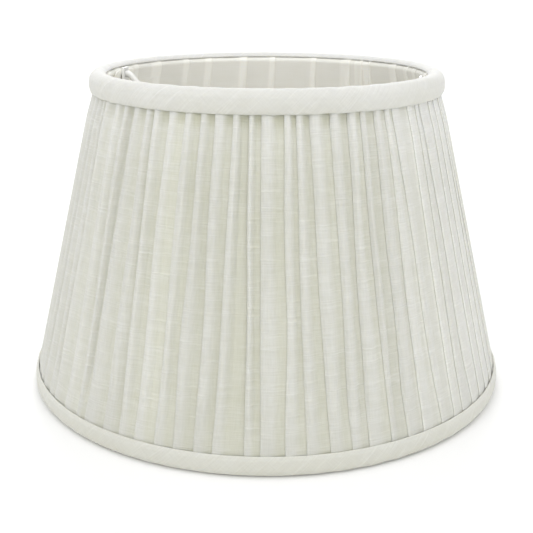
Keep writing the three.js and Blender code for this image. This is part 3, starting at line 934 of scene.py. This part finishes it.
def arm_stations(length):
    """Places along an arm, and its half width and half thickness at each."""
    head = PIN_HEAD_THICKNESS * MM
    head_steps = head * (1 - np.cos(np.linspace(0, math.pi / 2, 7)))
    body_steps = np.arange(head + 0.05 * MM, length - FOOT * MM, 0.6 * MM)
    foot_steps = np.linspace(length - FOOT * MM, length, 16)
    places = np.concatenate([head_steps, [head + 0.01 * MM], body_steps, foot_steps])
    wide = np.full(len(places), ARM_RADIUS * MM)
    dome = PIN_HEAD_RADIUS * MM * np.sqrt(np.maximum(1 - (1 - head_steps / head) ** 2, 0.0001))
    wide[:len(head_steps)] = dome
    thick = wide.copy()
    flat = smooth((places - length + 4.5 * MM) / (3.5 * MM))
    foot = places > length - 4.6 * MM
    thick[foot] = mix(ARM_RADIUS, FOOT_HALF_THICK, flat[foot]) * MM
    wide[foot] = mix(ARM_RADIUS, FOOT_HALF_WIDE, flat[foot]) * MM
    end = np.clip((length - places) / (FOOT_ROUNDING * MM), 0, 1)
    closing = np.sqrt(np.maximum(1 - (1 - end) ** 2, 0.0004))
    thick *= np.where(foot, closing, 1)
    wide *= np.where(foot, closing, 1)
    return places, wide, thick


def capped_tube(rings):
    """The vertices and faces of a tube through rings of points, closed by a fan at each end."""
    rows, sides = rings.shape[:2]
    quads = grid_faces(rows, sides, True)[:, ::-1]
    vertices = rings.reshape(-1, 3)
    ends = np.array([vertices[:sides].mean(axis=0), vertices[-sides:].mean(axis=0)])
    step = np.arange(sides)
    following = (step + 1) % sides
    last = (rows - 1) * sides
    middle = rows * sides
    caps = [[int(a), int(b), middle] for a, b in zip(step, following)]
    caps += [[int(last + b), int(last + a), middle + 1] for a, b in zip(step, following)]
    return np.concatenate([vertices, ends]), quads.tolist() + caps


def make_arm(side, sign):
    """A wire arm with a peened pin at the tab and a flattened foot on the carrier ring."""
    path = arm_path(side)
    lengths = path_lengths(path)
    places, wide, thick = arm_stations(lengths[-1])
    points = np.stack([np.interp(places, lengths, path[:, axis]) for axis in range(3)], axis=1)
    along = np.gradient(points, axis=0)
    along /= np.linalg.norm(along, axis=1, keepdims=True)
    sideways = np.array([0.0, 1.0, 0.0])
    upwards = np.cross(along, sideways)
    around = np.linspace(0, TAU, TUBE_SIDES, endpoint=False)
    ring = wide[:, None, None] * np.cos(around)[None, :, None] * sideways
    ring = ring + thick[:, None, None] * np.sin(around)[None, :, None] * upwards[:, None, :]
    tube = points[:, None, :] + ring
    tube[:, :, :2] *= sign
    vertices, faces = capped_tube(tube)
    arm = add_mesh(f"wire_arm_{side}", vertices, faces, fitter_steel, GIMBAL)
    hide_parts(f"gimbal_arm_{side}")


def make_carrier():
    """The carrier ring as a stamped washer with rounded edges."""
    low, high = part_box("carrier_ring")
    mesh = bpy.data.objects["carrier_ring"].data
    bore = min(math.hypot(vertex.co.x, vertex.co.y) for vertex in mesh.vertices)
    half = (high.z - low.z) / 2
    middle_z = (high.z + low.z) / 2
    edge = CARRIER_EDGE * MM
    corners = [(bore + edge, -1, 180), (high.x - edge, -1, 270), (high.x - edge, 1, 0), (bore + edge, 1, 90)]
    section = []
    for radius, level, start in corners:
        section.append(arc((radius, middle_z + level * (half - edge)), edge, start, start + 90, 5))
    section = np.concatenate(section)
    around = np.linspace(0, TAU, CARRIER_SIDES, endpoint=False)
    r, z = section[:, 0:1], section[:, 1:2]
    points = np.stack([r * np.cos(around), r * np.sin(around), z + 0 * around], axis=2)
    index = np.arange(len(section) * CARRIER_SIDES).reshape(-1, CARRIER_SIDES)
    turned = np.roll(index, -1, axis=1)
    above, above_turned = np.roll(index, -1, axis=0), np.roll(turned, -1, axis=0)
    faces = np.stack([index.ravel(), turned.ravel(), above_turned.ravel(), above.ravel()], axis=1)
    ring = add_mesh("carrier_washer", points.reshape(-1, 3), faces.tolist(), fitter_steel, GIMBAL)
    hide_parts("carrier_ring")


def make_tab(side):
    """The tab with its edges rounded over."""
    node = f"pivot_tab_{side}"
    mesh = bpy.data.objects[node].data.copy()
    mesh.materials.clear()
    mesh.materials.append(fitter_steel)
    tab = linked(f"bent_tab_{side}", mesh)
    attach(tab, SHADE)
    edit = bmesh.new()
    edit.from_mesh(mesh)
    bmesh.ops.remove_doubles(edit, verts=edit.verts, dist=0.001 * MM)
    bmesh.ops.dissolve_limit(edit, angle_limit=math.radians(2), verts=edit.verts, edges=edit.edges)
    sharp = [edge for edge in edit.edges if edge.is_manifold and edge.calc_face_angle() > math.radians(50)]
    bmesh.ops.bevel(edit, geom=sharp, offset=TAB_EDGE * MM, segments=3, profile=0.5, affect="EDGES")
    for face in edit.faces:
        face.smooth = True
    edit.to_mesh(mesh)
    edit.free()
    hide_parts(node)


def finish_frame():
    """The wires and their binding keep the CAD shape, with their own finishes."""
    for row in frame["record"]["subparts"]:
        node = bpy.data.objects[row["node"]]
        material = {"frame_wire": frame_wire, "binding_tape": binding_tape}.get(row["material_slot"])
        if material is not None:
            node.data.materials.clear()
            node.data.materials.append(material)


# ---- Studio ----
CAMERA_TURN = math.radians(15)  # from the pivot axis's square-on view
CAMERA_PLACE = (-3.438, -467.57, 210.2)  # before that turn
CAMERA_ANGLES = (0.0074, 0.3199, 0.0025)  # yaw, pitch and roll, in radians
CAMERA_LENS = 61.4
SENSOR = 36.0
FLOOR_REACH = 12.0  # from the shade to the floor's edges
FLOOR_LIP = 0.7  # the floor turns up at its far edges, to hide the horizon
WORLD_STRENGTH = 0.5
SUNS = (  # azimuth from the camera's side, elevation and softness in degrees, and strength
    ("overhead", 0, 80, 70, 1.2),
    ("key", -50, 35, 30, 0.5),
    ("front", 15, 22, 40, 0.6),
    ("fill", 45, 22, 80, 0.36),
    ("left", -95, 35, 40, 0.1),
    ("back", 180, 25, 30, 1.6),
)


def make_camera():
    yaw, pitch, roll = CAMERA_ANGLES
    ahead = Vector((math.sin(yaw) * math.cos(pitch), math.cos(yaw) * math.cos(pitch), -math.sin(pitch)))
    level = Vector((math.cos(yaw), -math.sin(yaw), 0))
    above = level.cross(ahead)
    right = level * math.cos(roll) + above * math.sin(roll)
    above = above * math.cos(roll) - level * math.sin(roll)
    basis = Matrix((right, above, -ahead)).transposed().to_4x4()
    turn = Matrix.Rotation(CAMERA_TURN, 4, "Z")
    data = bpy.data.cameras.new("camera")
    data.lens = CAMERA_LENS
    data.sensor_width = SENSOR
    data.sensor_fit = "HORIZONTAL"
    data.clip_start = 0.01
    camera = linked("camera", data)
    camera.matrix_world = turn @ Matrix.Translation(Vector(CAMERA_PLACE) * MM) @ basis
    bpy.context.scene.camera = camera


def make_floor():
    n = Nodes("studio_floor")
    haze = n.noise(n.object_point(6), detail=3.0)
    white = n.blend(haze, (0.89, 0.89, 0.89), (0.91, 0.91, 0.91))
    n.finish(Base_Color=white, Roughness=0.9, Specular_IOR_Level=0.1)
    mesh = bpy.data.meshes.new("floor")
    corners = [(-1, -1), (1, -1), (1, 1), (-1, 1)]
    points = [(x * FLOOR_REACH, y * FLOOR_REACH, 0) for x, y in corners]
    points += [(x * (FLOOR_REACH + FLOOR_LIP), y * (FLOOR_REACH + FLOOR_LIP), FLOOR_LIP) for x, y in corners]
    sides = [(i, (i + 1) % 4, (i + 1) % 4 + 4, i + 4) for i in range(4)]
    mesh.from_pydata(points, [], [(0, 1, 2, 3)] + sides)
    mesh.materials.append(n.material)
    floor = linked("floor", mesh)


def make_world():
    world = bpy.data.worlds.new("studio")
    world.use_nodes = True
    background = world.node_tree.nodes["Background"]
    background.inputs["Color"].default_value = (1.0, 1.0, 1.0, 1.0)
    background.inputs["Strength"].default_value = WORLD_STRENGTH
    bpy.context.scene.world = world


def sun_light(name, azimuth, elevation, softness, strength):
    """A distant soft light, placed by its angle from the camera's side."""
    data = bpy.data.lights.new(name, "SUN")
    data.angle = math.radians(softness)
    data.energy = strength
    light = linked(name, data)
    turn = math.radians(azimuth) + CAMERA_TURN
    lift = math.radians(elevation)
    away = Vector((math.sin(turn) * math.cos(lift), -math.cos(turn) * math.cos(lift), math.sin(lift)))
    light.rotation_euler = away.to_track_quat("Z", "Y").to_euler()


def make_studio():
    make_world()
    make_floor()
    for sun in SUNS:
        sun_light(*sun)
    bpy.context.scene.view_settings.view_transform = "Standard"


make_camera()
make_cover()
make_trims()
make_lining()
for side, turn, sign in (("right", 0.0, 1), ("left", math.pi, -1)):
    make_neatener(side, turn)
    make_arm(side, sign)
    make_tab(side)
make_carrier()
finish_frame()
make_studio()
